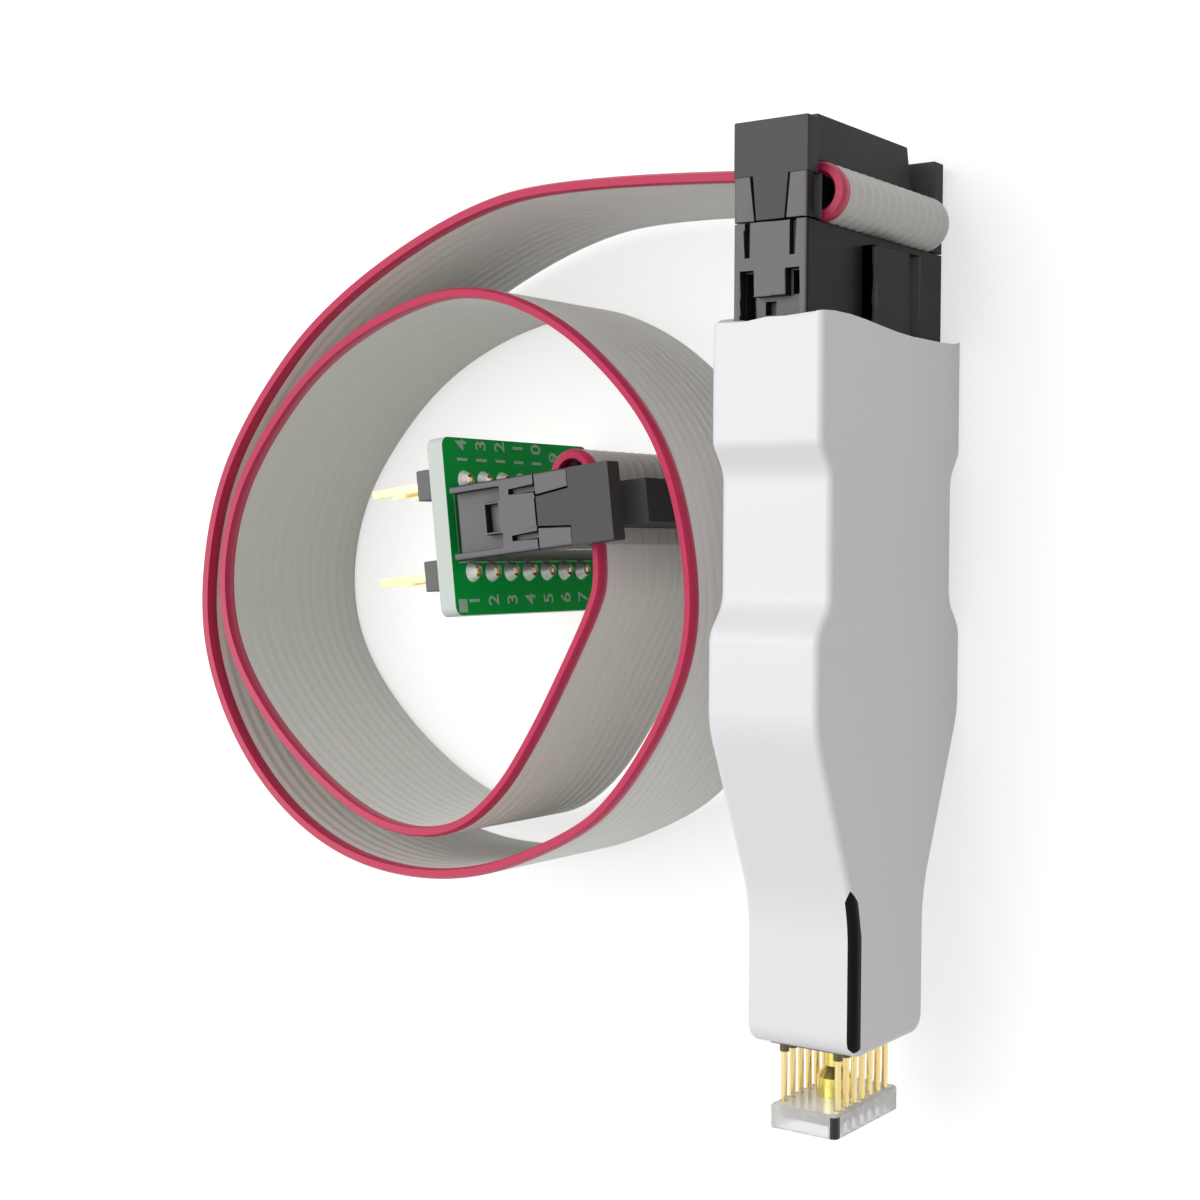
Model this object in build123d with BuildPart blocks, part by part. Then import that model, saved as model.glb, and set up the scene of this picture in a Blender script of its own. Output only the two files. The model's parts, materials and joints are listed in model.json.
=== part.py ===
from build123d import *
from math import atan2, cos, radians, sin, tan
import os

# Pogo-pin probe for 14-lead small-outline chips: a white probe with a floating guide plate,
# a 14-way ribbon that plugs into it, and a 14-pin adapter on the ribbon's far end.
# Frame: +Z up from the table that the set lies on, +Y along the probe towards its socket,
# +X across the probe's thickness, origin on the table under the middle of the probe.

# Chip footprint and connector pitches
ways = 14
columns = 7
chip_pitch = 1.27
header_pitch = 2.54
dip_row_spacing = 7.62

# Probe body, heights along the probe from the foot
body_thickness = 9.3
foot_half_width = 5.7
bulge_half_width = 11.7
waist_half_width = 9.9
head_half_width = 11.4
foot_height = 10.8
bulge_start = 24.5
bulge_end = 31.4
waist_start = 33.5
waist_end = 43.0
head_start = 45.0
rim_corner_height = 54.1
rim_middle_height = 53.5
foot_corner_radius = 1.5
flare_radius = 12.0
bulge_radius = 7.0
step_radius = 2.4
lip_radius = 1.3
body_edge_radius = 0.6
body_wall = 1.6

# Spring probes
probe_row_spacing = 4.6
barrel_radius = 0.36
barrel_bore_radius = 0.29
barrel_reach = 0.7
barrel_top = 12.6
barrel_cap = 0.8
barrel_lip = 0.4
plunger_radius = 0.24
plunger_head_radius = 0.27
plunger_head_length = 1.6
plunger_head_height = 2.0
plunger_tip_length = 0.35
plunger_slip = 0.02
spring_radius = 0.22
spring_wire = 0.1
spring_turns = 7

# Pin block in the foot
block_height = 10.0
block_width = 9.4
block_thickness = 6.2
block_fit = 0.05
stop_shelf = 1.2

# Guide plate and its post
plate_width = 10.2
plate_thickness = 5.7
plate_height = 1.83
plate_drop = 4.5
plate_edge_radius = 0.35
chip_pocket_width = 8.75
chip_pocket_thickness = 3.96
chip_pocket_depth = 0.8
plate_hole_radius = 0.3
post_radius = 1.4
post_neck_radius = 0.8
post_spigot_radius = 0.7
post_slip = 0.05
post_shoulder = 2.2
post_waist_length = 0.85
post_head_radius = 1.3
post_head_height = 1.0
chamber_radius = 1.5
guide_spring_wire = 0.3
guide_spring_radius = 1.2
guide_spring_turns = 5
spring_plug_height = 1.4

# Square-pin headers
header_pin = 0.64
header_width = columns * header_pitch
header_thickness = 2 * header_pitch
header_pin_reach = 5.0
header_tail = 3.0
header_fit = 0.02
header_notch = 0.5
probe_header_height = 2.5
adapter_header_height = 1.0
jumper_radius = 0.32

# Ribbon connectors, heights from the joint between body and cap
socket_length = 22.0
socket_thickness = 6.1
socket_height = 8.5
socket_joint_height = 60.9
cap_height = 3.45
cap_relief = 0.45
ear_height = 3.3
ear_groove_depth = 1.5
stem_top_width = 3.2
stem_foot_width = 2.6
short_leg = 1.5
long_leg = 6.3
leg_height = 7.1
notch_height = 5.8
bar_height = 7.45
bar_slant = 0.7
key_width = 5.3
key_depth = 0.9
key_top = 0.9
latch_window_width = 4.9
latch_window_top = 3.4
latch_window_depth = 0.9
latch_nose_width = 2.6
latch_nose_height = 1.9
slit_width = 0.45
slit_length = 2.5
slit_depth = 0.6
slit_spacing = 3.7
socket_edge_radius = 0.3
socket_fit = 0.1
seat_gap = 0.1

# Stamped contacts in the ribbon connectors
prong_width = 0.3
prong_depth = 0.6
prong_slip = 0.03
bridge_height = 1.0
blade_width = 0.9
blade_thickness = 0.3
blade_slot = 0.3
blade_pierce = 0.7
cavity_gap = 0.06

# Ribbon cable
ribbon_width = ways * chip_pitch
ribbon_thickness = 0.9
ribbon_slope = 0.045
ribbon_bend = 0.45
ribbon_lead_in = 1.0
ribbon_lead_out = 2.6

# Adapter
board_width = 20.3
board_depth = 14.8
board_thickness = 1.6
board_corner_radius = 0.8
dip_pin_reach = 6.0
pin_hole_radius = 0.5
joint_height = 0.7
joint_radius = 0.85
joint_waist = 0.35
joint_bore = 0.48
adapter_turn = 6.7
adapter_joint_x = -21.5
adapter_joint_above_foot = 40.3

os.makedirs("parts", exist_ok=True)

# Where the probe lies
tip_drop = plate_drop + plate_height
overall_top = socket_joint_height + bar_height
foot_y = -(overall_top - tip_drop) / 2
axis_z = bulge_half_width
adapter_z = socket_length / 2


def save(solid, name):
    """Labels a finished piece and writes it."""
    solid.label = name
    export_step(solid, f"parts/{name}.step")


def across(height, x=0, z=0):
    """The plane across the probe at a height above its foot, with local x along +X."""
    return Plane((x, foot_y + height, axis_z + z), x_dir=(1, 0, 0), z_dir=(0, 1, 0))


def lengthwise(x, z):
    """The plane through a line along the probe, with local x outwards and local y along it."""
    return Plane((x, foot_y, axis_z + z), x_dir=(1, 0, 0), z_dir=(0, 0, 1))


def facing_side():
    """The plane down the middle of the probe, with local x along it and local y up."""
    return Plane((0, foot_y, axis_z), x_dir=(0, 1, 0), z_dir=(1, 0, 0))


def probe_places():
    """The fourteen spring probes as (x, z) from the probe's axis, pin 1 first, round the chip."""
    side = probe_row_spacing / 2
    steps = [(columns - 1) / 2 - n for n in range(columns)]
    down = [(side, step * chip_pitch) for step in steps]
    back = [(-side, -step * chip_pitch) for step in steps]
    return down + back


def header_places():
    """The header pin for each spring probe, as (x, z) from the probe's axis."""
    spread = header_pitch / chip_pitch
    return [(header_pitch / 2 * (1 if x > 0 else -1), z * spread) for x, z in probe_places()]


# Probe body: one hollow white moulding
with BuildPart() as probe_body:
    with BuildSketch(facing_side()):
        with BuildLine():
            half = [
                (0, foot_half_width),
                (foot_height, foot_half_width),
                (bulge_start, bulge_half_width),
                (bulge_end, bulge_half_width),
                (waist_start, waist_half_width),
                (waist_end, waist_half_width),
                (head_start, head_half_width),
                (rim_corner_height, head_half_width),
            ]
            Polyline(*half, *[(h, -w) for h, w in reversed(half)], close=True)
        make_face()
        for height, radius in [
            (0, foot_corner_radius),
            (foot_height, flare_radius),
            (bulge_start, bulge_radius),
            (bulge_end, step_radius),
            (waist_start, step_radius),
            (waist_end, step_radius),
            (head_start, lip_radius),
        ]:
            fillet([v for v in vertices() if abs(v.X - height) < 0.01], radius)
    extrude(amount=body_thickness / 2, both=True)
    sides = faces().filter_by(Axis.X)
    fillet(sides.sort_by(Axis.X)[0].edges() + sides.sort_by(Axis.X)[-1].edges(), body_edge_radius)
    # the rim dips in the middle of each wide face
    with BuildSketch(facing_side()):
        with BuildLine():
            rim = SagittaArc(
                (rim_corner_height, -head_half_width),
                (rim_corner_height, head_half_width),
                rim_middle_height - rim_corner_height,
            )
            above = rim_corner_height + body_wall
            Polyline(rim @ 1, (above, head_half_width), (above, -head_half_width), rim @ 0)
        make_face()
    extrude(amount=body_thickness, both=True, mode=Mode.SUBTRACT)
    # the pin block's pocket, the room for the wires, the header's seat and the socket's mouth
    with BuildSketch(across(0)):
        Rectangle(block_thickness, block_width)
    extrude(amount=block_height, mode=Mode.SUBTRACT)
    wire_room_top = socket_joint_height - socket_height - probe_header_height - header_tail
    with BuildSketch(facing_side()):
        with BuildLine():
            inner = [
                (block_height, block_width / 2),
                (foot_height, block_width / 2),
                (bulge_start, bulge_half_width - body_wall),
                (bulge_end, bulge_half_width - body_wall),
                (waist_start, waist_half_width - body_wall),
                (wire_room_top, waist_half_width - body_wall),
            ]
            Polyline(*inner, *[(h, -w) for h, w in reversed(inner)], close=True)
        make_face()
    extrude(amount=block_thickness / 2, both=True, mode=Mode.SUBTRACT)
    mouth_floor = socket_joint_height - socket_height - seat_gap
    header_floor = mouth_floor - probe_header_height
    with BuildSketch(across(wire_room_top)):
        Rectangle(header_pitch + 2 * header_pin, header_width - header_pitch + 2 * header_pin)
    extrude(amount=mouth_floor - wire_room_top, mode=Mode.SUBTRACT)
    with BuildSketch(across(header_floor)):
        Rectangle(header_thickness + 2 * header_fit, header_width + 2 * header_fit)
    extrude(amount=mouth_floor - header_floor, mode=Mode.SUBTRACT)
    with BuildSketch(across(mouth_floor)):
        Rectangle(socket_thickness + 2 * socket_fit, socket_length + 2 * socket_fit)
        with Locations((socket_thickness / 2 + key_depth / 2, 0)):
            Rectangle(key_depth + 2 * socket_fit, key_width + 2 * socket_fit)
    extrude(amount=above - mouth_floor, mode=Mode.SUBTRACT)
save(probe_body.part, "probe_body")

# Pin block: holds the spring probes and guides the post
with BuildPart() as pin_block:
    with BuildSketch(across(0)):
        Rectangle(block_thickness - 2 * block_fit, block_width - 2 * block_fit)
    extrude(amount=block_height)
    with BuildSketch(across(0)):
        for x, z in probe_places():
            with Locations((x, -z)):
                Circle(barrel_radius)
        Circle(post_neck_radius + post_slip)
    extrude(amount=block_height, mode=Mode.SUBTRACT)
    with BuildSketch(across(stop_shelf)):
        Circle(chamber_radius)
    extrude(amount=block_height - stop_shelf, mode=Mode.SUBTRACT)
save(pin_block.part, "pin_block")

# Spring plug: closes the top of the guide spring's chamber
with BuildPart() as spring_plug:
    with BuildSketch(across(block_height - spring_plug_height)):
        Circle(chamber_radius)
    extrude(amount=spring_plug_height)
save(spring_plug.part, "spring_plug")

# Barrels of the spring probes, crimped to a lip round each plunger and closed at the top
barrels = []
for x, z in probe_places():
    with BuildPart() as barrel:
        with BuildSketch(lengthwise(x, z)):
            with BuildLine():
                Polyline(
                    (plunger_radius + plunger_slip, -barrel_reach),
                    (barrel_radius, -barrel_reach),
                    (barrel_radius, barrel_top),
                    (0, barrel_top),
                    (0, barrel_top - barrel_cap),
                    (barrel_bore_radius, barrel_top - barrel_cap),
                    (barrel_bore_radius, barrel_lip - barrel_reach),
                    (plunger_radius + plunger_slip, barrel_lip - barrel_reach),
                    close=True,
                )
            make_face()
        revolve(axis=Axis((x, foot_y, axis_z + z), (0, 1, 0)))
    barrels.append(barrel.part.solid())
save(Compound(children=barrels), "pin_barrels")


def coil_spring(x, z, bottom, top, radius, wire, turns):
    """A compression spring along the probe between two heights, with its outer radius."""
    length = top - bottom - wire
    start = (x, foot_y + bottom + wire / 2, axis_z + z)
    with BuildPart() as spring:
        with BuildLine():
            coil = Helix(length / turns, length, radius - wire / 2, start, direction=(0, 1, 0))
        with BuildSketch(Plane(coil @ 0, z_dir=coil % 0)):
            Circle(wire / 2)
        sweep(path=coil, is_frenet=True)
    return spring.part


# Plungers, each in a node of its own, and the springs behind them
plunger_tip = -tip_drop + plunger_tip_length
head_top = plunger_head_height + plunger_head_length
for number, (x, z) in enumerate(probe_places(), start=1):
    with BuildPart() as plunger:
        with BuildSketch(lengthwise(x, z)):
            with BuildLine():
                Polyline(
                    (0, plunger_tip),
                    (plunger_radius, plunger_tip + plunger_tip_length),
                    (plunger_radius, plunger_head_height),
                    (plunger_head_radius, plunger_head_height),
                    (plunger_head_radius, head_top),
                    (0, head_top),
                    close=True,
                )
            make_face()
        revolve(axis=Axis((x, foot_y, axis_z + z), (0, 1, 0)))
    save(plunger.part, f"plunger_{number:02d}")
    spring = coil_spring(x, z, head_top, barrel_top - barrel_cap, spring_radius, spring_wire, spring_turns)
    save(spring, f"plunger_spring_{number:02d}")

# Guide plate: clear, with a pocket underneath that fits over the chip
with BuildPart() as guide_plate:
    with BuildSketch(across(-tip_drop)):
        RectangleRounded(plate_thickness, plate_width, plate_edge_radius)
    extrude(amount=plate_height)
    with BuildSketch(across(-tip_drop)):
        Rectangle(chip_pocket_thickness, chip_pocket_width)
    extrude(amount=chip_pocket_depth, mode=Mode.SUBTRACT)
    with BuildSketch(across(-tip_drop)):
        for x, z in probe_places():
            with Locations((x, -z)):
                Circle(plate_hole_radius)
        Circle(post_spigot_radius)
    extrude(amount=plate_height, mode=Mode.SUBTRACT)
    top_edges = faces().sort_by(Axis.Y)[-1].outer_wire().edges()
    chamfer(top_edges, plate_edge_radius / 2)
save(guide_plate.part, "guide_plate")

# Guide post: brass, waisted under the foot, with a stop head inside the pin block
with BuildPart() as guide_post:
    with BuildSketch(lengthwise(0, 0)):
        with BuildLine():
            Polyline(
                (0, chip_pocket_depth - tip_drop),
                (post_spigot_radius, chip_pocket_depth - tip_drop),
                (post_spigot_radius, -plate_drop),
                (post_radius, -plate_drop),
                (post_radius, -post_shoulder - post_waist_length),
                (post_neck_radius, -post_shoulder),
                (post_neck_radius, stop_shelf),
                (post_head_radius, stop_shelf),
                (post_head_radius, stop_shelf + post_head_height),
                (0, stop_shelf + post_head_height),
                close=True,
            )
        make_face()
    revolve(axis=Axis((0, foot_y, axis_z), (0, 1, 0)))
save(guide_post.part, "guide_post")

# Guide spring: pushes the post and the plate out
guide_spring = coil_spring(
    0,
    0,
    stop_shelf + post_head_height,
    block_height - spring_plug_height,
    guide_spring_radius,
    guide_spring_wire,
    guide_spring_turns,
)
save(guide_spring, "guide_spring")


def header(place, base_height, tail, base_name, pins_name):
    """A two-row square-pin header whose base stands up from a plane."""
    with BuildPart() as base:
        with BuildSketch(place):
            Rectangle(header_thickness, header_width)
            with GridLocations(header_thickness, header_pitch, 2, columns - 1):
                Rectangle(header_notch, header_notch, rotation=45, mode=Mode.SUBTRACT)
            with GridLocations(header_pitch, header_pitch, 2, columns):
                Rectangle(
                    header_pin + 2 * header_fit,
                    header_pin + 2 * header_fit,
                    mode=Mode.SUBTRACT,
                )
        extrude(amount=base_height)
    save(base.part, base_name)
    with BuildPart() as pins:
        with BuildSketch(place.offset(-tail)):
            with GridLocations(header_pitch, header_pitch, 2, columns):
                Rectangle(header_pin, header_pin)
        extrude(amount=tail + base_height + header_pin_reach)
        chamfer(faces().filter_by(place).edges(), header_pin / 4)
    save(pins.part, pins_name)


header(across(header_floor), probe_header_height, header_tail, "header_base", "header_pins")

# Jumper wires from the barrels to the header's tails
wires = []
for (x, z), (header_x, header_z) in zip(probe_places(), header_places()):
    with BuildPart() as wire:
        with BuildSketch(across(barrel_top, x, z)):
            Circle(jumper_radius)
        with BuildSketch(across(header_floor - header_tail, header_x, header_z)):
            Circle(jumper_radius)
        loft(ruled=True)
    wires.append(wire.part.solid())
save(Compound(children=wires), "jumper_wires")


def contact(place, row, column):
    """One stamped contact: a fork for the pin and a slotted blade that pierces the ribbon."""
    x = row * header_pitch / 2
    y = column * header_pitch
    blade_y = y + row * chip_pitch / 2
    prong_x = header_pin / 2 + prong_slip + prong_width / 2
    bridge_bottom = header_pin_reach - socket_height + cavity_gap
    with BuildPart() as piece:
        with BuildSketch(place.offset(-socket_height + cavity_gap)):
            with Locations((x - prong_x, y), (x + prong_x, y)):
                Rectangle(prong_width, prong_depth)
        extrude(amount=header_pin_reach)
        with BuildSketch(place.offset(bridge_bottom)):
            with Locations((x, (y + blade_y) / 2)):
                Rectangle(2 * prong_x + prong_width, prong_depth + abs(blade_y - y))
        extrude(amount=bridge_height)
        with BuildSketch(place.offset(bridge_bottom + bridge_height)):
            with Locations((x, blade_y)):
                Rectangle(blade_thickness, blade_width)
        extrude(amount=blade_pierce - bridge_bottom - bridge_height)
        with BuildSketch(place.offset(-blade_pierce)):
            with Locations((x, blade_y)):
                Rectangle(blade_thickness, blade_slot)
        extrude(amount=2 * blade_pierce, mode=Mode.SUBTRACT)
    return piece.part.solid()


def connector(place, name, key_side):
    """A ribbon connector: socket body, cap, strain relief clip, contacts and folded ribbon end."""
    half = socket_length / 2
    upright = Axis(place.origin, place.z_dir)
    prong_reach = header_pin / 2 + prong_slip + prong_width + cavity_gap
    bridge_bottom = header_pin_reach - socket_height
    with BuildPart() as body:
        with BuildSketch(place.offset(-socket_height)):
            Rectangle(socket_thickness, socket_length)
        extrude(amount=socket_height)
        fillet(edges().filter_by(upright), socket_edge_radius)
        with BuildSketch(place.offset(-socket_height)):
            with Locations((key_side * (socket_thickness + key_depth) / 2, 0)):
                Rectangle(key_depth, key_width)
        extrude(amount=socket_height - key_top)
        for end in (-1, 1):
            with BuildSketch(place.offset(-socket_height)):
                with Locations((0, end * (half - latch_window_depth / 2))):
                    Rectangle(latch_window_width, latch_window_depth)
            extrude(amount=socket_height - latch_window_top, mode=Mode.SUBTRACT)
            with BuildSketch(place.offset(-latch_window_top - latch_nose_height)):
                with Locations((0, end * (half - latch_window_depth / 2))):
                    Rectangle(latch_nose_width, latch_window_depth)
            extrude(amount=latch_nose_height)
            with BuildSketch(place.offset(-slit_length)):
                for side in (-1, 1):
                    with Locations((side * slit_spacing / 2, end * (half - slit_depth / 2))):
                        Rectangle(slit_width, slit_depth)
            extrude(amount=slit_length, mode=Mode.SUBTRACT)
        for row in (-1, 1):
            for step in range(columns):
                x = row * header_pitch / 2
                y = (step - (columns - 1) / 2) * header_pitch
                blade_y = y + row * chip_pitch / 2
                with BuildSketch(place.offset(-socket_height)):
                    with Locations((x, y)):
                        Rectangle(2 * prong_reach, prong_depth + 2 * cavity_gap)
                extrude(amount=header_pin_reach, mode=Mode.SUBTRACT)
                with BuildSketch(place.offset(bridge_bottom)):
                    with Locations((x, (y + blade_y) / 2)):
                        Rectangle(
                            2 * prong_reach,
                            prong_depth + abs(blade_y - y) + 2 * cavity_gap,
                        )
                extrude(amount=bridge_height + 2 * cavity_gap, mode=Mode.SUBTRACT)
                with BuildSketch(place.offset(bridge_bottom + bridge_height)):
                    with Locations((x, blade_y)):
                        Rectangle(blade_thickness + 2 * cavity_gap, blade_width + 2 * cavity_gap)
                extrude(amount=-bridge_bottom - bridge_height, mode=Mode.SUBTRACT)
    save(body.part, f"{name}_socket_body")

    contacts = [
        contact(place, row, step - (columns - 1) / 2) for row in (-1, 1) for step in range(columns)
    ]
    save(Compound(children=contacts), f"{name}_contacts")

    with BuildPart() as cap:
        with BuildSketch(place):
            Rectangle(socket_thickness, socket_length)
        extrude(amount=cap_height)
        fillet(edges().filter_by(upright), socket_edge_radius)
        with BuildSketch(place):
            Rectangle(socket_thickness, ribbon_width)
        extrude(amount=ribbon_thickness, mode=Mode.SUBTRACT)
        with BuildSketch(place):
            with Locations(((socket_thickness - cap_relief) / 2, 0)):
                Rectangle(cap_relief, ribbon_width)
        extrude(amount=cap_height, mode=Mode.SUBTRACT)
        for end in (-1, 1):
            with BuildSketch(place):
                with Locations((0, end * (half - ear_groove_depth / 2))):
                    Rectangle(stem_foot_width, ear_groove_depth)
            with BuildSketch(place.offset(cap_height)):
                with Locations((0, end * (half - ear_groove_depth / 2))):
                    Rectangle(stem_top_width, ear_groove_depth)
            loft(ruled=True, mode=Mode.SUBTRACT)
            with BuildSketch(place.offset(ear_height)):
                with Locations((0, end * (half - ear_groove_depth / 2))):
                    Rectangle(socket_thickness, ear_groove_depth)
            extrude(amount=cap_height - ear_height, mode=Mode.SUBTRACT)
    save(cap.part, f"{name}_socket_cap")

    ribbon_top = cap_height + ribbon_thickness
    end_view = Plane(place.origin, x_dir=place.y_dir, z_dir=place.x_dir)
    with BuildPart() as clip:
        # the bar stands between the legs and drops steeply before the longer one
        with BuildSketch(end_view):
            with BuildLine():
                Polyline(
                    (-half, ribbon_top),
                    (half, ribbon_top),
                    (half, leg_height),
                    (half - long_leg, notch_height),
                    (half - long_leg - bar_slant, bar_height),
                    (short_leg - half, bar_height),
                    (-half, leg_height),
                    close=True,
                )
            make_face()
        extrude(amount=socket_thickness / 2, both=True)
        for end in (-1, 1):
            side_wall = half - ribbon_width / 2
            with BuildSketch(place.offset(cap_height)):
                with Locations((0, end * (half - side_wall / 2))):
                    Rectangle(socket_thickness, side_wall)
            extrude(amount=ribbon_thickness)
            with BuildSketch(place.offset(ear_height)):
                with Locations((0, end * (half - ear_groove_depth / 2))):
                    Rectangle(socket_thickness, ear_groove_depth)
            extrude(amount=cap_height - ear_height)
            with BuildSketch(place):
                with Locations((0, end * (half - ear_groove_depth / 2))):
                    Rectangle(stem_foot_width, ear_groove_depth)
            with BuildSketch(place.offset(cap_height)):
                with Locations((0, end * (half - ear_groove_depth / 2))):
                    Rectangle(stem_top_width, ear_groove_depth)
            loft(ruled=True)
    save(clip.part, f"{name}_socket_clip")

    # the ribbon's end: in over the cap, round the fold and back under it to the cut edge
    lower = ribbon_thickness / 2
    upper = cap_height + ribbon_thickness / 2
    fold_x = socket_thickness / 2 - cap_relief
    side_view = Plane(place.origin, x_dir=place.x_dir, z_dir=-place.y_dir)
    with BuildPart() as fold:
        with BuildSketch(side_view):
            with BuildLine():
                under = Line((-socket_thickness / 2, lower), (fold_x, lower))
                bend = ThreePointArc(
                    (fold_x, lower),
                    (fold_x + (upper - lower) / 2, (upper + lower) / 2),
                    (fold_x, upper),
                )
                Line(bend @ 1, (-socket_thickness / 2, upper))
            trace(line_width=ribbon_thickness)
        extrude(amount=ribbon_width / 2, both=True)
        for row in (-1, 1):
            for step in range(columns):
                blade_y = (step - (columns - 1) / 2) * header_pitch + row * chip_pitch / 2
                tine = (blade_width - blade_slot) / 2
                with BuildSketch(place):
                    for side in (-1, 1):
                        offset_y = blade_y + side * (blade_slot + tine) / 2
                        with Locations((row * header_pitch / 2, offset_y)):
                            Rectangle(blade_thickness, tine)
                extrude(amount=blade_pierce, mode=Mode.SUBTRACT)
    save(fold.part, f"{name}_ribbon_fold")


probe_socket_place = across(socket_joint_height)
connector(probe_socket_place, "probe", 1)

# The adapter's connector lies turned, with its cap end towards the probe
turn = radians(adapter_turn)
adapter_axis = Vector(cos(turn), sin(turn), 0)
adapter_side = Vector(-sin(turn), cos(turn), 0)
adapter_joint = Vector(adapter_joint_x, foot_y + adapter_joint_above_foot, adapter_z)
adapter_place = Plane(adapter_joint, x_dir=adapter_side, z_dir=adapter_axis)
connector(adapter_place, "adapter", 1)

# Adapter board and its header
board_face = -socket_height - seat_gap - adapter_header_height
board_back = board_face - board_thickness
with BuildPart() as adapter_board:
    with BuildSketch(adapter_place.offset(board_back)):
        RectangleRounded(board_depth, board_width, board_corner_radius)
        for spacing in (dip_row_spacing, header_pitch):
            with GridLocations(spacing, header_pitch, 2, columns):
                Circle(pin_hole_radius, mode=Mode.SUBTRACT)
    extrude(amount=board_thickness)
save(adapter_board.part, "adapter_board")
header(
    adapter_place.offset(board_face),
    adapter_header_height,
    board_thickness + joint_height,
    "adapter_header_base",
    "adapter_header_pins",
)

# Two strips of square pins behind the board, for the target's dual in-line socket
for side, name in ((-1, "low"), (1, "high")):
    row_x = side * dip_row_spacing / 2
    with BuildPart() as strip:
        with BuildSketch(adapter_place.offset(board_back - header_pitch)):
            with Locations((row_x, 0)):
                Rectangle(header_pitch, header_width)
                with GridLocations(header_pitch, header_pitch, 2, columns - 1):
                    Rectangle(header_notch, header_notch, rotation=45, mode=Mode.SUBTRACT)
                with GridLocations(header_pitch, header_pitch, 1, columns):
                    Rectangle(
                        header_pin + 2 * header_fit,
                        header_pin + 2 * header_fit,
                        mode=Mode.SUBTRACT,
                    )
        extrude(amount=header_pitch)
    save(strip.part, f"dip_strip_{name}")
    with BuildPart() as dip_pins:
        pin_bottom = board_back - header_pitch - dip_pin_reach
        with BuildSketch(adapter_place.offset(pin_bottom)):
            with Locations((row_x, 0)):
                with GridLocations(header_pitch, header_pitch, 1, columns):
                    Rectangle(header_pin, header_pin)
        extrude(amount=board_face + joint_height - pin_bottom)
        chamfer(faces().filter_by(adapter_place).edges(), header_pin / 4)
    save(dip_pins.part, f"dip_pins_{name}")

# Solder joints: cones round the pins on the face and round the header's tails at the back
joints = []
for spacing, level, way in ((dip_row_spacing, board_face, 1), (header_pitch, board_back, -1)):
    for row in (-1, 1):
        for step in range(columns):
            x = row * spacing / 2
            y = (step - (columns - 1) / 2) * header_pitch
            centre = adapter_place.from_local_coords(Vector(x, y, level))
            profile = Plane(centre, x_dir=adapter_side, z_dir=-adapter_place.y_dir * way)
            with BuildPart() as joint:
                with BuildSketch(profile):
                    with BuildLine():
                        Polyline(
                            (joint_bore, 0),
                            (joint_radius, 0),
                            (joint_bore + joint_waist / 2, joint_waist),
                            (joint_bore, joint_height),
                            close=True,
                        )
                    make_face()
                revolve(axis=Axis(centre, adapter_axis * way))
            joints.append(joint.part.solid())
save(Compound(children=joints), "adapter_solder")

# Ribbon cable: stands on its edge in two loops, in a plane that slopes gently down to the table.
# The route's corners are (x, height above the probe's foot).
route = [
    (-20.5, 66.5), (-32.5, 65.0), (-47.5, 58.5), (-56.5, 50.5), (-62.0, 42.5), (-64.0, 32.5),
    (-62.5, 25.0), (-57.5, 17.5), (-50.0, 12.0), (-41.0, 9.5), (-30.5, 10.0), (-20.5, 14.0),
    (-15.5, 17.5), (-10.5, 24.5), (-8.2, 30.5), (-8.4, 37.0), (-10.5, 44.5), (-14.5, 50.0),
    (-22.0, 56.0), (-31.0, 59.0), (-40.0, 57.5), (-49.0, 53.5), (-56.0, 47.0), (-60.0, 41.0),
    (-61.5, 34.0), (-60.0, 27.5), (-54.5, 21.0), (-46.5, 15.5), (-39.5, 13.0), (-32.5, 13.5),
    (-27.5, 17.0), (-23.5, 22.5), (-19.8, 28.8), (-17.6, 32.8),
]
exit_x = -socket_thickness / 2
exit_height = cap_height + ribbon_thickness / 2
adapter_exit = adapter_place.from_local_coords(Vector(exit_x, 0, exit_height))
lead_out = adapter_exit - adapter_side * ribbon_lead_out
tilt = atan2(ribbon_slope, 1)
slope_plane = Plane(
    (exit_x, foot_y, axis_z), x_dir=(cos(tilt), 0, sin(tilt)), z_dir=(-sin(tilt), 0, cos(tilt))
)
stations = [(exit_x + ribbon_lead_in, socket_joint_height + exit_height)]
inside = adapter_exit + adapter_side * ribbon_lead_in
stations += route + [(end.X, end.Y - foot_y) for end in (lead_out, inside)]
corners = [((x - exit_x) / cos(tilt), y) for x, y in stations]
runs = [Vector(*b) - Vector(*a) for a, b in zip(corners, corners[1:])]
turns = [first.get_angle(second) for first, second in zip(runs, runs[1:])]
radii = [
    ribbon_bend * min(first.length, second.length) / tan(radians(turn) / 2)
    for first, second, turn in zip(runs, runs[1:], turns)
]
with BuildPart() as ribbon_cable:
    with BuildSketch(slope_plane):
        with BuildLine():
            path = FilletPolyline(*corners, radius=radii)
        trace(line_width=ribbon_thickness)
    extrude(amount=ribbon_width / 2, both=True)
    # the ends are cut square to the connectors that they go into
    for place in (probe_socket_place, adapter_place):
        with BuildSketch(place):
            Rectangle(socket_thickness, socket_length)
        extrude(amount=bar_height, mode=Mode.SUBTRACT)
save(ribbon_cable.part, "ribbon_cable")
length = path.length - 2 * ribbon_lead_in
print("ribbon runs", [round(run.length, 1) for run in runs])
print("ribbon radii", [round(radius, 1) for radius in radii])
print("ribbon length", round(length, 1), "solids", len(ribbon_cable.part.solids()))
print("ribbon volume", round(ribbon_cable.part.volume, 1))
print("section times length", round(ribbon_thickness * ribbon_width * length, 1))
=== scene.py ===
import json
from math import cos, pi, radians, sin

import bmesh
import bpy
from mathutils import Matrix, Vector

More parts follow.
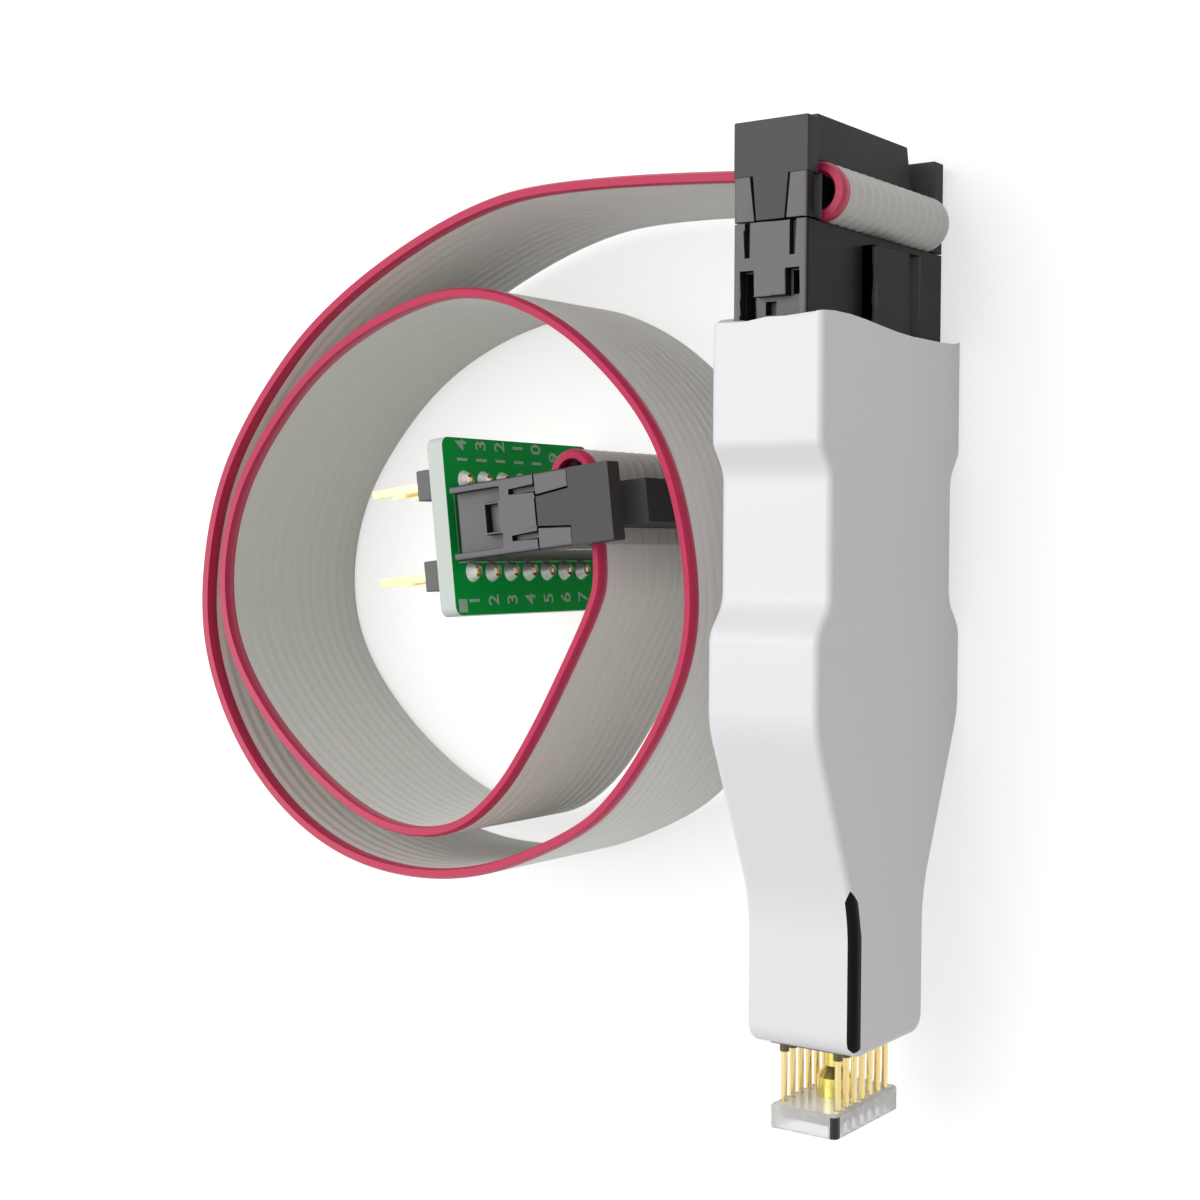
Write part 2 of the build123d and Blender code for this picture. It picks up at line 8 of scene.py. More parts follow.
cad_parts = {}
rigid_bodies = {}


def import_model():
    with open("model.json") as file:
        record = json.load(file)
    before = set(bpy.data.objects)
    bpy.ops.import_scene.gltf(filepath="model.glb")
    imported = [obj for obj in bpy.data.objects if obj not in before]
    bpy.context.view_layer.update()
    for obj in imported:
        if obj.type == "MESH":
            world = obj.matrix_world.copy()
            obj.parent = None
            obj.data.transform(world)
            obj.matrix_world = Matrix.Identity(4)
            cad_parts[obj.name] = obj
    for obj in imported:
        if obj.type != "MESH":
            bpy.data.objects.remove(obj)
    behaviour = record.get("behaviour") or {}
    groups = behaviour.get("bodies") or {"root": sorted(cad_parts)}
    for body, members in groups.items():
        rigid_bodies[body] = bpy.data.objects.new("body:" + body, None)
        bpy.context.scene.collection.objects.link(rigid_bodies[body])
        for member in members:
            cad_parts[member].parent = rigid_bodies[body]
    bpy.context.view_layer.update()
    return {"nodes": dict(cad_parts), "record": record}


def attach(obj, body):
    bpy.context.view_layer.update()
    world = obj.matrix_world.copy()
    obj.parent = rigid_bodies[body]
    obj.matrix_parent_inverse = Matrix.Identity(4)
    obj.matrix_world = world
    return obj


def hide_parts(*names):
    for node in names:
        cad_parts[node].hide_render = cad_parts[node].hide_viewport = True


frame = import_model()
nodes = frame["nodes"]

# The photographer's stand. The camera hangs above the table and looks down along the probe, with the
# probe upright in the picture. It was fitted to the connectors' known sizes.
camera_place = Vector((0.069121, 0.007038, 0.140201))
camera_right = Vector((0.81403, 0.00583, -0.58079))
camera_up = Vector((-0.02297, 0.99949, -0.02217))
stand = bpy.data.cameras.new("stand")
stand.sensor_width = 36
stand.lens = 56.77
stand.clip_start = 0.01
camera = bpy.data.objects.new("camera", stand)
bpy.context.collection.objects.link(camera)
columns = (camera_right, camera_up, camera_right.cross(camera_up))
camera.matrix_world = Matrix.Translation(camera_place) @ Matrix(columns).transposed().to_4x4()
bpy.context.scene.camera = camera
bpy.context.scene.view_settings.view_transform = "Standard"


# The table and the light. A white sheet lies under the set, with a big soft lamp over it towards the far
# end, and an even white room that fills the shadows.
def shader(name):
    """A new material, its node tree and its Principled BSDF."""
    material = bpy.data.materials.new(name)
    material.use_nodes = True
    tree = material.node_tree
    return material, tree, tree.nodes["Principled BSDF"]


def link(tree, start, end):
    """Joins an output to an input."""
    tree.links.new(start, end)


def maths(tree, operation, *values):
    """The result of a maths node on links or numbers."""
    node = tree.nodes.new("ShaderNodeMath")
    node.operation = operation
    for value, socket in zip(values, node.inputs):
        if isinstance(value, (int, float)):
            socket.default_value = value
        else:
            link(tree, value, socket)
    return node.outputs[0]


def ramp(tree, source, low, high, start, finish):
    """A straight change from start to finish between two values."""
    change = tree.nodes.new("ShaderNodeMapRange")
    change.inputs["From Min"].default_value = low
    change.inputs["From Max"].default_value = high
    change.inputs["To Min"].default_value = start
    change.inputs["To Max"].default_value = finish
    link(tree, source, change.inputs["Value"])
    return change.outputs["Result"]


def seen_directly(tree):
    """One where the camera, a reflection or clear plastic shows the surface, and nought where it lights."""
    rays = tree.nodes.new("ShaderNodeLightPath").outputs
    shown = maths(tree, "MAXIMUM", rays["Is Camera Ray"], rays["Is Glossy Ray"])
    return maths(tree, "MAXIMUM", shown, rays["Is Transmission Ray"])


table_size = 1.6
bm = bmesh.new()
bmesh.ops.create_grid(bm, x_segments=1, y_segments=1, size=table_size / 2)
sheet_mesh = bpy.data.meshes.new("table")
bm.to_mesh(sheet_mesh)
bm.free()
table = bpy.data.objects.new("table", sheet_mesh)
bpy.context.collection.objects.link(table)
paper, tree, surface = shader("white_paper")
surface.inputs["Base Color"].default_value = (0.55, 0.55, 0.55, 1)
surface.inputs["Roughness"].default_value = 0.9
surface.inputs["Emission Color"].default_value = (1, 1, 1, 1)
glow = maths(tree, "MULTIPLY", seen_directly(tree), 0.62)
link(tree, glow, surface.inputs["Emission Strength"])
sheet_mesh.materials.append(paper)

room = bpy.data.worlds.new("room")
bpy.context.scene.world = room
room.use_nodes = True
tree = room.node_tree
fill = tree.nodes["Background"]
fill.inputs["Color"].default_value = (1, 1, 1, 1)
brightness = ramp(tree, seen_directly(tree), 0, 1, 0.5, 1.0)
link(tree, brightness, fill.inputs["Strength"])

softbox = bpy.data.lights.new("softbox", "AREA")
softbox.shape = "DISK"
softbox.size = 0.5
softbox.energy = 2.0
lamp = bpy.data.objects.new("softbox", softbox)
bpy.context.collection.objects.link(lamp)
lamp.location = (-0.22, 0.12, 0.55)
lamp.rotation_euler = (-lamp.location).to_track_quat("-Z", "Y").to_euler()


# Ribbon cable. Fourteen stranded wires lie side by side in one grey sheath with a rounded ridge over each,
# and the first wire is red. It stands on its edge and winds twice round before it reaches the adapter.
foot_y = -0.03101
axis_z = 0.0117
ways = 14
pitch = 0.00127
ribbon_width = ways * pitch
ribbon_thickness = 0.0009
ribbon_slope = 0.045
ridge_steps = 5
ridge_power = 0.6
red_reach = 1.02
joint_height = 0.0609
exit_height = 0.0039
socket_side = 0.00305
lead_length = 0.0026
adapter_turn = radians(6.7)
adapter_axis = Vector((cos(adapter_turn), sin(adapter_turn), 0))
adapter_side = Vector((-sin(adapter_turn), cos(adapter_turn), 0))
probe_joint = Vector((0, foot_y + joint_height, axis_z))
adapter_joint = Vector((-0.0215, foot_y + 0.0403, 0.011))
ribbon_route = [
    (-0.0205, 0.0665), (-0.0325, 0.0650), (-0.0475, 0.0585), (-0.0565, 0.0505), (-0.0620, 0.0425),
    (-0.0640, 0.0325), (-0.0625, 0.0250), (-0.0575, 0.0175), (-0.0500, 0.0120), (-0.0410, 0.0095),
    (-0.0305, 0.0100), (-0.0205, 0.0140), (-0.0155, 0.0175), (-0.0105, 0.0245), (-0.0082, 0.0305),
    (-0.0084, 0.0370), (-0.0105, 0.0445), (-0.0145, 0.0500), (-0.0220, 0.0560), (-0.0310, 0.0590),
    (-0.0400, 0.0575), (-0.0490, 0.0535), (-0.0560, 0.0470), (-0.0600, 0.0410), (-0.0615, 0.0340),
    (-0.0600, 0.0275), (-0.0545, 0.0210), (-0.0465, 0.0155), (-0.0395, 0.0130), (-0.0325, 0.0135),
    (-0.0275, 0.0170), (-0.0235, 0.0225), (-0.0198, 0.0288), (-0.0176, 0.0328),
]
probe_exit = Vector((-socket_side, foot_y + joint_height + exit_height, axis_z))
adapter_exit = adapter_joint - socket_side * adapter_side + exit_height * adapter_axis
lead_out = adapter_exit - lead_length * adapter_side
ribbon_points = [probe_exit]
for x, height in ribbon_route:
    ribbon_points.append(Vector((x, foot_y + height, axis_z + ribbon_slope * (x + socket_side))))
ribbon_points += [lead_out, adapter_exit]


def spline_points(name, points, steps):
    """The points of a smooth curve that the given points control."""
    curve = bpy.data.curves.new(name, "CURVE")
    curve.dimensions = "3D"
    curve.resolution_u = steps
    spline = curve.splines.new("NURBS")
    spline.points.add(len(points) - 1)
    for control, point in zip(spline.points, points):
        control.co = (*point, 1)
    spline.order_u = 3
    spline.use_endpoint_u = True
    line = bpy.data.objects.new(name, curve)
    bpy.context.collection.objects.link(line)
    mesh = bpy.data.meshes.new_from_object(line)
    found = [vertex.co.copy() for vertex in mesh.vertices]
    bpy.data.objects.remove(line)
    bpy.data.meshes.remove(mesh)
    return found


def joined(name, bm, material):
    """The finished mesh as an object, smooth except at its sharp edges, with its items in a fixed order."""
    sharp_angle = radians(38)
    order = Vector((0.8391, 0.4373, 0.3237))
    for face in bm.faces:
        face.smooth = True
    for edge in bm.edges:
        edge.smooth = edge.is_manifold and edge.calc_face_angle(0) < sharp_angle
    bm.verts.sort(key=lambda vertex: vertex.co.dot(order))
    bm.edges.sort(key=lambda edge: (edge.verts[0].co + edge.verts[1].co).dot(order))
    bm.faces.sort(key=lambda face: face.calc_center_median().dot(order))
    mesh = bpy.data.meshes.new(name)
    bm.to_mesh(mesh)
    bm.free()
    mesh.materials.append(material)
    piece = bpy.data.objects.new(name, mesh)
    bpy.context.collection.objects.link(piece)
    return piece


def outer_edges(made):
    """The points and edges at the far end of what an edge extrusion made."""
    ring = [item for item in made if isinstance(item, bmesh.types.BMVert)]
    edges = [item for item in made if isinstance(item, bmesh.types.BMEdge)]
    return ring, [edge for edge in edges if set(edge.verts) <= set(ring)]


def lay_ribbon(name, points, widths, sheath, valley):
    """A length of the ribbon along the points, with a given height of the valleys between its wires."""
    bm = bmesh.new()
    along = bm.verts.layers.float.new("along")
    across = bm.verts.layers.float.new("across")
    ring = []
    for face_side in (1, -1):
        for step in range(ways * ridge_steps):
            share = (step + 0.5 * (face_side < 0)) / ridge_steps
            place = share if face_side > 0 else ways - share
            ridge = abs(sin(pi * (place % 1))) ** ridge_power
            height = face_side * ribbon_thickness / 2 * (valley + (1 - valley) * ridge)
            vertex = bm.verts.new((height, 0, ribbon_width / 2 - place * pitch))
            vertex[across] = place
            ring.append(vertex)
    edges = [bm.edges.new(pair) for pair in zip(ring, ring[1:] + ring[:1])]
    first_loop = list(edges)
    before = Matrix.Identity(4)
    gone = 0.0
    for number, (point, width) in enumerate(zip(points, widths)):
        ahead = points[min(number + 1, len(points) - 1)] - points[max(number - 1, 0)]
        upright = (width - width.project(ahead)).normalized()
        outward = ahead.cross(upright).normalized()
        turned = Matrix((outward, ahead.normalized(), upright)).transposed().to_4x4()
        here = Matrix.Translation(point) @ turned
        if number:
            ring, edges = outer_edges(bmesh.ops.extrude_edge_only(bm, edges=edges)["geom"])
            gone += (point - points[number - 1]).length
        bmesh.ops.transform(bm, matrix=here @ before.inverted(), verts=ring)
        for vertex in ring:
            vertex[along] = gone
        before = here
    bmesh.ops.contextual_create(bm, geom=first_loop)
    bmesh.ops.contextual_create(bm, geom=edges)
    bmesh.ops.recalc_face_normals(bm, faces=bm.faces)
    return joined(name, bm, sheath)


def blended(tree, share, first, second):
    """A mix of two colours, each of them a link or three numbers."""
    mix = tree.nodes.new("ShaderNodeMix")
    mix.data_type = "RGBA"
    link(tree, share, mix.inputs["Factor"])
    for value, socket in ((first, mix.inputs["A"]), (second, mix.inputs["B"])):
        if isinstance(value, tuple):
            socket.default_value = (*value, 1)
        else:
            link(tree, value, socket)
    return mix.outputs["Result"]


def scaled(tree, colour, amount):
    """A colour made lighter or darker by an amount."""
    node = tree.nodes.new("ShaderNodeVectorMath")
    node.operation = "SCALE"
    link(tree, colour, node.inputs[0])
    link(tree, amount, node.inputs["Scale"])
    return node.outputs[0]


def sheath_material(name, grey):
    """Ribbon insulation, grey with a red first wire, and worn in streaks along its length."""
    material, tree, surface = shader(name)
    place_across = tree.nodes.new("ShaderNodeAttribute")
    place_across.attribute_name = "across"
    place_along = tree.nodes.new("ShaderNodeAttribute")
    place_along.attribute_name = "along"
    laid_flat = tree.nodes.new("ShaderNodeCombineXYZ")
    link(tree, place_along.outputs["Fac"], laid_flat.inputs["X"])
    link(tree, place_across.outputs["Fac"], laid_flat.inputs["Y"])
    streaks = tree.nodes.new("ShaderNodeTexNoise")
    streaks.inputs["Scale"].default_value = 3
    streaks.inputs["Detail"].default_value = 4
    link(tree, laid_flat.outputs[0], streaks.inputs["Vector"])
    worn = ramp(tree, streaks.outputs["Fac"], 0, 1, 0.93, 1.05)
    red_wire = maths(tree, "LESS_THAN", place_across.outputs["Fac"], red_reach)
    colour = blended(tree, red_wire, grey, (0.56, 0.016, 0.085))
    link(tree, scaled(tree, colour, worn), surface.inputs["Base Color"])
    surface.inputs["Roughness"].default_value = 0.42
    return material


ribbon_sheath = sheath_material("ribbon_sheath", (0.86, 0.85, 0.81))
# Painted shade: the folded ends get the same sheath in a darker grey, standing in for the shade on them.
fold_sheath = sheath_material("fold_sheath", (0.62, 0.60, 0.56))

upright = Vector((0, 0, 1))
ribbon_line = spline_points("ribbon_line", ribbon_points, 12)
ribbon = lay_ribbon("ribbon", ribbon_line, [upright] * len(ribbon_line), ribbon_sheath, 0.5)
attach(ribbon, "cable")
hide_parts("ribbon_cable")


# Folded ends. At each connector the ribbon crosses the top of the cap, turns round its edge and goes back
# underneath to the contacts, where it is cut flush. The turn stands out beside the cap.
fold_edge = 0.0026
fold_steps = 16
cut_height = 0.00045
fold_radius = (exit_height - cut_height) / 2
places = {
    "probe": (probe_joint, Vector((1, 0, 0)), Vector((0, 1, 0))),
    "adapter": (adapter_joint, adapter_side, adapter_axis),
}
for name, (joint, side, axis) in places.items():
    turn = [(-socket_side, exit_height), (fold_edge, exit_height)]
    for step in range(1, fold_steps):
        angle = pi / 2 - pi * step / fold_steps
        turn.append((fold_edge + fold_radius * cos(angle), cut_height + fold_radius * (1 + sin(angle))))
    turn += [(fold_edge, cut_height), (-socket_side, cut_height)]
    points = [joint + side * x + axis * y for x, y in turn]
    fold = lay_ribbon(f"{name}_fold", points, [upright] * len(points), fold_sheath, 0.4)
    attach(fold, "cable")
    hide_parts(f"{name}_ribbon_fold")


# Surface grain. One node group gives every moulded or plated piece its faint cloudiness, its fine grain and
# its uneven gloss, each by the piece's own amounts.
grain = bpy.data.node_groups.new("surface_grain", "ShaderNodeTree")
for name, kind, start in (
    ("Colour", "NodeSocketColor", None),
    ("Cloud Scale", "NodeSocketFloat", 250.0),
    ("Cloud Amount", "NodeSocketFloat", 0.06),
    ("Grain Scale", "NodeSocketFloat", 9000.0),
    ("Grain Depth", "NodeSocketFloat", 0.15),
    ("Gloss", "NodeSocketFloat", 0.4),
    ("Gloss Change", "NodeSocketFloat", 0.08),
):
    socket = grain.interface.new_socket(name, in_out="INPUT", socket_type=kind)
    if start is not None:
        socket.default_value = start
for name, kind in (
    ("Colour", "NodeSocketColor"),
    ("Roughness", "NodeSocketFloat"),
    ("Normal", "NodeSocketVector"),
):
    grain.interface.new_socket(name, in_out="OUTPUT", socket_type=kind)
given = grain.nodes.new("NodeGroupInput").outputs
result = grain.nodes.new("NodeGroupOutput").inputs
where = grain.nodes.new("ShaderNodeTexCoord").outputs["Object"]
cloud = grain.nodes.new("ShaderNodeTexNoise")
cloud.inputs["Detail"].default_value = 5
link(grain, where, cloud.inputs["Vector"])
link(grain, given["Cloud Scale"], cloud.inputs["Scale"])
centred = maths(grain, "SUBTRACT", cloud.outputs["Fac"], 0.5)
shade = maths(grain, "MULTIPLY_ADD", centred, given["Cloud Amount"], 1)
link(grain, scaled(grain, given["Colour"], shade), result["Colour"])
gloss = maths(grain, "MULTIPLY_ADD", centred, given["Gloss Change"], given["Gloss"])
link(grain, gloss, result["Roughness"])
fine = grain.nodes.new("ShaderNodeTexNoise")
fine.inputs["Detail"].default_value = 3
link(grain, where, fine.inputs["Vector"])
link(grain, given["Grain Scale"], fine.inputs["Scale"])
relief = grain.nodes.new("ShaderNodeBump")
relief.inputs["Distance"].default_value = 0.00002
link(grain, fine.outputs["Fac"], relief.inputs["Height"])
link(grain, given["Grain Depth"], relief.inputs["Strength"])
link(grain, relief.outputs["Normal"], result["Normal"])


def grained(name, colour, gloss, metallic=0.0, cloud_amount=0.06, cloud_scale=250.0):
    """A material whose surface goes through the shared grain."""
    material, tree, surface = shader(name)
    group = tree.nodes.new("ShaderNodeGroup")
    group.node_tree = grain
    group.name = "grain"
    group.inputs["Colour"].default_value = (*colour, 1)
    group.inputs["Gloss"].default_value = gloss
    group.inputs["Cloud Amount"].default_value = cloud_amount
    group.inputs["Cloud Scale"].default_value = cloud_scale
    link(tree, group.outputs["Colour"], surface.inputs["Base Color"])
    link(tree, group.outputs["Roughness"], surface.inputs["Roughness"])
    link(tree, group.outputs["Normal"], surface.inputs["Normal"])
    surface.inputs["Metallic"].default_value = metallic
    return material


# Hidden and small metal pieces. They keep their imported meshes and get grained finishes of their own, by the
# material slot that each has in the record.
finishes = {
    "black_plastic": grained("black_plastic", (0.020, 0.019, 0.021), 0.42),
    "brass": grained("brass", (0.86, 0.72, 0.20), 0.28, metallic=1.0),
    "gold_plating": grained("gold_plating", (0.86, 0.68, 0.32), 0.26, metallic=1.0),
    "barrel_metal": grained("barrel_metal", (0.12, 0.10, 0.06), 0.4, metallic=1.0),
    "spring_steel": grained("spring_steel", (0.6, 0.6, 0.6), 0.3, metallic=1.0),
    "wire_insulation": grained("wire_insulation", (0.2, 0.2, 0.22), 0.6),
    "solder": grained("solder", (0.90, 0.91, 0.90), 0.3, metallic=0.2, cloud_amount=0.4),
}
for subpart in frame["record"]["subparts"]:
    material = finishes.get(subpart["material_slot"])
    if material:
        for slot in nodes[subpart["node"]].material_slots:
            slot.material = material


# Moulded pieces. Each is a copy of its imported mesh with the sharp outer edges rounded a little, as a mould
# leaves them, so that the joints between the black pieces show as dark grooves.
def node_copy(name):
    """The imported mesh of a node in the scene's coordinates, with its flat faces made whole."""
    bm = bmesh.new()
    bm.from_mesh(nodes[name].data)
    bmesh.ops.transform(bm, matrix=nodes[name].matrix_world, verts=bm.verts)
    bmesh.ops.remove_doubles(bm, verts=bm.verts, dist=0.000001)
    bmesh.ops.dissolve_limit(bm, angle_limit=radians(1), verts=bm.verts, edges=bm.edges)
    return bm


def soften(bm, width, shortest=0.0012):
    """Rounds the long convex edges."""
    sharp = []
    for edge in bm.edges:
        if edge.is_manifold and edge.is_convex and edge.calc_length() > shortest:
            if edge.calc_face_angle() > radians(40):
                sharp.append(edge)
    bmesh.ops.bevel(
        bm,
        geom=sharp,
        offset=width,
        offset_type="OFFSET",
        affect="EDGES",
        segments=2,
        profile=0.5,
        material=-1,
        clamp_overlap=False,
    )


def carve(bm, facing, low, high, depth):
    """Presses a box-shaped panel, given by two corners, into the faces that look one way."""
    low = Vector(low)
    high = Vector(high)
    for axis in range(3):
        if abs(facing[axis]) > 0.9:
            continue
        normal = Vector([float(n == axis) for n in range(3)])
        for corner in (low, high):
            side = [face for face in bm.faces if face.normal.dot(facing) > 0.99]
            geom = {item for face in side for item in (face, *face.edges, *face.verts)}
            bmesh.ops.bisect_plane(bm, geom=list(geom), plane_co=corner, plane_no=normal)
    panel = []
    for face in bm.faces:
        middle = face.calc_center_median()
        within = all(low[n] < middle[n] < high[n] for n in range(3))
        if within and face.normal.dot(facing) > 0.99:
            panel.append(face)
    made = bmesh.ops.extrude_face_region(bm, geom=panel)["geom"]
    moved = [item for item in made if isinstance(item, bmesh.types.BMVert)]
    bmesh.ops.translate(bm, vec=-facing * depth, verts=moved)
    bmesh.ops.delete(bm, geom=panel, context="FACES_ONLY")


def put_on(bm, name, body, material):
    """Finishes a worked copy, gives it its look and lets it stand for its node."""
    piece = joined(f"{name}_look", bm, material)
    even = piece.modifiers.new("even_faces", "WEIGHTED_NORMAL")
    even.keep_sharp = True
    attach(piece, body)
    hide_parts(name)


def painted_top_light(material, painted_top_colour, level):
    """Paints the faces that look up in a paler colour, a painted highlight for the lamp's sheen on them, and
    sets the specular level.
    """
    tree = material.node_tree
    surface = tree.nodes["Principled BSDF"]
    look = tree.nodes.new("ShaderNodeNewGeometry")
    apart = tree.nodes.new("ShaderNodeSeparateXYZ")
    link(tree, look.outputs["Normal"], apart.inputs[0])
    up = ramp(tree, apart.outputs["Z"], 0.5, 1.0, 0, 1)
    up.node.interpolation_type = "SMOOTHSTEP"
    mixed = blended(tree, up, tree.nodes["grain"].outputs["Colour"], painted_top_colour)
    link(tree, mixed, surface.inputs["Base Color"])
    surface.inputs["Specular IOR Level"].default_value = level
    return material


# Painted highlight: both blacks are painted paler on the faces that look up, where the lamp's sheen falls.
black = painted_top_light(finishes["black_plastic"], (0.195, 0.188, 0.196), 0.08)
clip_black = painted_top_light(grained("clip_black", (0.046, 0.044, 0.046), 0.5), (0.098, 0.096, 0.100), 0.1)

# Each socket is worked in its own frame: x across it, y up from the joint between body and cap, and z along
# its length.
facing_out = Vector((1, 0, 0))
facing_up = Vector((0, 0, 1))
mould_radius = 0.00012
small_radius = 0.0001
joint_gap = 0.00012
cap_foot_reach = 0.0001
ribbon_top = 0.00435
strap_top = 0.0048
leg_top = 0.0073
bar_top = 0.00815
stem_foot = 0.00118
stem_top = 0.00148
ear_top = 0.0033
leg_inner = 0.0094
socket_end = 0.011
bar_half_width = 0.00175
bar_half_length = 0.008
bar_slant = 0.0008
frames = {
    "probe": Matrix((Vector((1, 0, 0)), Vector((0, 1, 0)), facing_up)).transposed().to_4x4(),
    "adapter": Matrix((-adapter_side, adapter_axis, facing_up)).transposed().to_4x4(),
}
frames["probe"].translation = probe_joint
frames["adapter"].translation = adapter_joint

# Each pressed panel has the side that it faces, two corners and a depth. The probe's socket has a slot
# beside its key rib, a groove past it, dark places round its latch, and a recess where the ribbon ends.
key_slot = (facing_out, (0.0035, -0.009, 0.0020), (0.0045, -0.0005, 0.0027), 0.0012)
key_groove = (facing_out, (0.0025, -0.009, -0.0070), (0.0035, -0.0005, -0.0052), 0.0010)
latch_left = (facing_up, (-0.0024, -0.009, 0.0098), (-0.0016, -0.0035, 0.0104), 0.0012)
latch_right = (facing_up, (0.0015, -0.0052, 0.0098), (0.0023, -0.0035, 0.0104), 0.0012)
latch_foot = (facing_up, (-0.0008, -0.0066, 0.0098), (0.0001, -0.0056, 0.0104), 0.0008)
latch_hole = (facing_up, (-0.0011, -0.0050, 0.0108), (0.0011, -0.0037, 0.0112), 0.0008)
fold_recess = (facing_out, (0.0025, 0, 0.0089), (0.0035, 0.0034, 0.0100), 0.0013)
panels = {
    "probe_socket_body": (key_slot, key_groove, latch_left, latch_right, latch_foot),
    "probe_socket_cap": (fold_recess,),
    "adapter_socket_body": (latch_hole,),
    "adapter_socket_cap": (),
}


def block(bm, low, high, narrowed=0.0):
    """Adds a box between two corners, whose top is a little shorter than its foot."""
    made = bmesh.ops.create_cube(bm, size=1)["verts"]
    size = high - low
    for vertex in made:
        vertex.co = low + Vector([(vertex.co[n] + 0.5) * size[n] for n in range(3)])
        if vertex.co.y > (low.y + high.y) / 2:
            vertex.co.z -= narrowed * (1 if vertex.co.z > 0 else -1)


for place in ("probe", "adapter"):
    own = frames[place]
    # body and cap, with the cap drawn back a little from the body
    for part in ("body", "cap"):
        name = f"{place}_socket_{part}"
        bm = node_copy(name)
        bmesh.ops.transform(bm, matrix=own.inverted(), verts=bm.verts)
        for panel in panels[name]:
            carve(bm, *panel)
        if part == "cap":
            for vertex in bm.verts:
                if vertex.co.y < cap_foot_reach:
                    vertex.co.y += joint_gap
        soften(bm, mould_radius)
        bmesh.ops.transform(bm, matrix=own, verts=bm.verts)
        put_on(bm, name, "cable", black)

    # clip: at each end a leg whose stem stands in the cap's groove, with a narrower bar between the legs
    bm = bmesh.new()
    for end in (-1, 1):
        outline = [(stem_foot, joint_gap), (stem_top, ear_top)]
        outline += [(socket_side, ear_top), (socket_side, leg_top)]
        outline += [(-x, y) for x, y in reversed(outline)]
        leg = bm.faces.new([bm.verts.new((x, y, end * socket_end)) for x, y in outline])
        made = bmesh.ops.extrude_face_region(bm, geom=[leg], use_keep_orig=True)["geom"]
        moved = [item for item in made if isinstance(item, bmesh.types.BMVert)]
        bmesh.ops.translate(bm, vec=(0, 0, end * (leg_inner - socket_end)), verts=moved)
    strap_low = Vector((-bar_half_width, ribbon_top, -leg_inner - joint_gap))
    strap_high = Vector((bar_half_width, strap_top, leg_inner + joint_gap))
    block(bm, strap_low, strap_high)
    bar_low = Vector((-bar_half_width, strap_top, -bar_half_length))
    bar_high = Vector((bar_half_width, bar_top, bar_half_length))
    block(bm, bar_low, bar_high, bar_slant)
    bmesh.ops.recalc_face_normals(bm, faces=bm.faces)
    soften(bm, small_radius)
    bmesh.ops.transform(bm, matrix=own, verts=bm.verts)
    put_on(bm, f"{place}_socket_clip", "cable", clip_black)

for name in ("dip_strip_low", "dip_strip_high", "adapter_header_base"):
    bm = node_copy(name)
    soften(bm, small_radius)
    put_on(bm, name, "adapter", black)

# Probe body. White satin plastic with a hand-finished rim that ripples, and a black ink stripe down the
# edge at pin 1. The stripe is in the material, because it lies flat in the surface.
white = grained("white_plastic", (0.82, 0.82, 0.835), 0.42, cloud_amount=0.03, cloud_scale=120)
tree = white.node_tree
surface = tree.nodes["Principled BSDF"]
place_in = tree.nodes.new("ShaderNodeTexCoord")
apart = tree.nodes.new("ShaderNodeSeparateXYZ")
link(tree, place_in.outputs["Object"], apart.inputs[0])
body_x, body_y, body_z = apart.outputs
body_edge_x = 0.00465
stripe_foot = foot_y + 0.0003
stripe_top = foot_y + 0.0128
stripe_point = 0.0011
stripe_start = 0.0005
stripe_reach_x = 0.00065
stripe_reach_z = 0.00095
flare_foot = foot_y + 0.009
foot_edge_z = axis_z + 0.0057
flare_edge_z = axis_z + 0.00656
point = ramp(tree, body_y, stripe_top - stripe_point, stripe_top, 1, 0.1)
rounded = ramp(tree, body_y, stripe_foot, stripe_foot + stripe_start, 0.3, 1)
share = maths(tree, "MULTIPLY", point, rounded)
inner_x = maths(tree, "SUBTRACT", body_edge_x, maths(tree, "MULTIPLY", share, stripe_reach_x))
edge_z = ramp(tree, body_y, flare_foot, stripe_top, foot_edge_z, flare_edge_z)
inner_z = maths(tree, "SUBTRACT", edge_z, maths(tree, "MULTIPLY", share, stripe_reach_z))
on_x = maths(tree, "GREATER_THAN", body_x, inner_x)
on_z = maths(tree, "GREATER_THAN", body_z, inner_z)
above_foot = maths(tree, "GREATER_THAN", body_y, stripe_foot)
below_top = maths(tree, "LESS_THAN", body_y, stripe_top)
on_edge = maths(tree, "MULTIPLY", on_x, on_z)
in_length = maths(tree, "MULTIPLY", above_foot, below_top)
stripe = maths(tree, "MULTIPLY", on_edge, in_length)
inked = blended(tree, stripe, tree.nodes["grain"].outputs["Colour"], (0.003, 0.003, 0.004))
link(tree, inked, surface.inputs["Base Color"])
link(tree, ramp(tree, stripe, 0, 1, 0.5, 0.1), surface.inputs["Specular IOR Level"])


def eased(value, low, high):
    """Nought below low and one above high, with a smooth change between."""
    share = min(max((value - low) / (high - low), 0), 1)
    return share * share * (3 - 2 * share)


